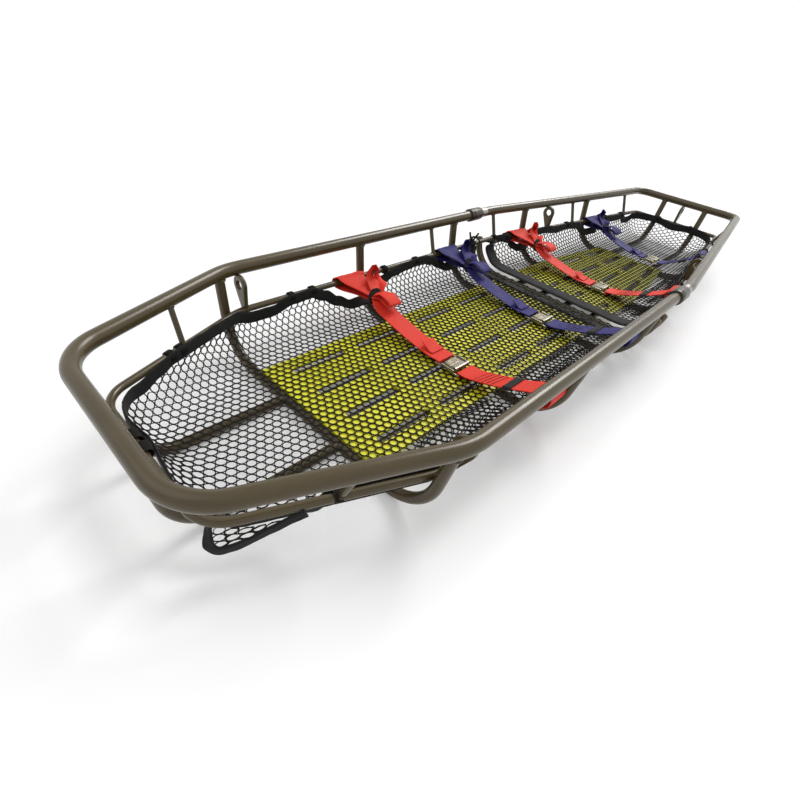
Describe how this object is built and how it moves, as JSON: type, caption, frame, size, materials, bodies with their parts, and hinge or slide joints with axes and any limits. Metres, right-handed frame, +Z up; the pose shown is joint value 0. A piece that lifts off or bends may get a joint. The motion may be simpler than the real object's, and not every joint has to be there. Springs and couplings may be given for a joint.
{
  "type": "split basket stretcher",
  "caption": "Two-piece tubular basket stretcher with locking rail collars, slotted bed sheets, a net liner and buckled webbing straps.",
  "frame": {"origin": "on the ground under the middle of the stretcher", "axes": "+X towards the foot end, +Y towards the left side, +Z up"},
  "size_m": [2.1254, 0.612, 0.1817],
  "materials": {
    "frame_coat": "satin olive-brown powder coat on steel tube",
    "collar_metal": "dark grey satin metal, worn where it turns",
    "bed_yellow": "fluorescent yellow plastic sheet",
    "net_black": "black knotless cord net with sewn binding",
    "webbing_red": "red-orange woven webbing",
    "webbing_blue": "dark blue woven webbing",
    "buckle_steel": "dull plated steel"
  },
  "bodies": {
    "head_half": {"top_rail_head": "frame_coat", "mid_rail_head": "frame_coat", "rib_head_1": "frame_coat", "rib_head_2": "frame_coat", "rib_head_3": "frame_coat", "split_hoop_head": "frame_coat", "end_hoop_head_left": "frame_coat", "rod_head_1_left": "frame_coat", "rod_head_2_left": "frame_coat", "lift_lug_head_left": "frame_coat", "net_head_side_left": "net_black", "net_head_shoulder_left": "net_black", "end_hoop_head_right": "frame_coat", "rod_head_1_right": "frame_coat", "rod_head_2_right": "frame_coat", "lift_lug_head_right": "frame_coat", "net_head_side_right": "net_black", "net_head_shoulder_right": "net_black", "bed_sheet_head_1": "bed_yellow", "bed_sheet_head_2": "bed_yellow", "net_head_floor": "net_black", "net_head_end": "net_black", "strap_1_buckle_frame": "buckle_steel", "strap_1_left": "webbing_red", "strap_1_right": "webbing_red", "strap_2_buckle_frame": "buckle_steel", "strap_2_left": "webbing_blue", "strap_2_right": "webbing_blue"},
    "foot_half": {"top_rail_foot": "frame_coat", "mid_rail_foot": "frame_coat", "split_hoop_foot": "frame_coat", "rib_foot_1": "frame_coat", "rib_foot_2": "frame_coat", "end_hoop_foot_left": "frame_coat", "rod_foot_1_left": "frame_coat", "rod_foot_2_left": "frame_coat", "lift_lug_foot_left": "frame_coat", "net_foot_side_left": "net_black", "end_hoop_foot_right": "frame_coat", "rod_foot_1_right": "frame_coat", "rod_foot_2_right": "frame_coat", "lift_lug_foot_right": "frame_coat", "net_foot_side_right": "net_black", "lift_lug_foot_end": "frame_coat", "bed_sheet_foot_1": "bed_yellow", "bed_sheet_foot_2": "bed_yellow", "net_foot_floor": "net_black", "net_foot_end": "net_black", "strap_3_buckle_frame": "buckle_steel", "strap_3_left": "webbing_red", "strap_3_right": "webbing_red", "strap_4_buckle_frame": "buckle_steel", "strap_4_left": "webbing_blue", "strap_4_right": "webbing_blue"},
    "collar_left": {"lock_collar_left": "collar_metal"},
    "collar_right": {"lock_collar_right": "collar_metal"},
    "buckle_lever_1": {"strap_1_buckle_lever": "buckle_steel"},
    "buckle_lever_2": {"strap_2_buckle_lever": "buckle_steel"},
    "buckle_lever_3": {"strap_3_buckle_lever": "buckle_steel"},
    "buckle_lever_4": {"strap_4_buckle_lever": "buckle_steel"}
  },
  "joints": [
    {"name": "halves_slide", "type": "slide", "parent": "head_half", "child": "foot_half", "axis": [1, 0, 0], "range_m": [0, 0.12]},
    {"name": "collar_left_turn", "type": "hinge", "parent": "head_half", "child": "collar_left", "pos_m": [0.062, 0.289, 0.165], "axis": [1, 0, 0], "range_deg": [0, 540]},
    {"name": "collar_right_turn", "type": "hinge", "parent": "head_half", "child": "collar_right", "pos_m": [0.062, -0.289, 0.165], "axis": [1, 0, 0], "range_deg": [0, 540]},
    {"name": "buckle_1_release", "type": "hinge", "parent": "head_half", "child": "buckle_lever_1", "pos_m": [-0.434, -0.075, 0.0392], "axis": [1, 0, 0], "range_deg": [0, 60], "stiffness_Nm_per_rad": 0.02, "springref_deg": -17.19},
    {"name": "buckle_2_release", "type": "hinge", "parent": "head_half", "child": "buckle_lever_2", "pos_m": [-0.081, -0.075, 0.0392], "axis": [1, 0, 0], "range_deg": [0, 60], "stiffness_Nm_per_rad": 0.02, "springref_deg": -17.19},
    {"name": "buckle_3_release", "type": "hinge", "parent": "foot_half", "child": "buckle_lever_3", "pos_m": [0.264, -0.075, 0.0392], "axis": [1, 0, 0], "range_deg": [0, 60], "stiffness_Nm_per_rad": 0.02, "springref_deg": -17.19},
    {"name": "buckle_4_release", "type": "hinge", "parent": "foot_half", "child": "buckle_lever_4", "pos_m": [0.692, -0.075, 0.0392], "axis": [1, 0, 0], "range_deg": [0, 60], "stiffness_Nm_per_rad": 0.02, "springref_deg": -17.19}
  ]
}
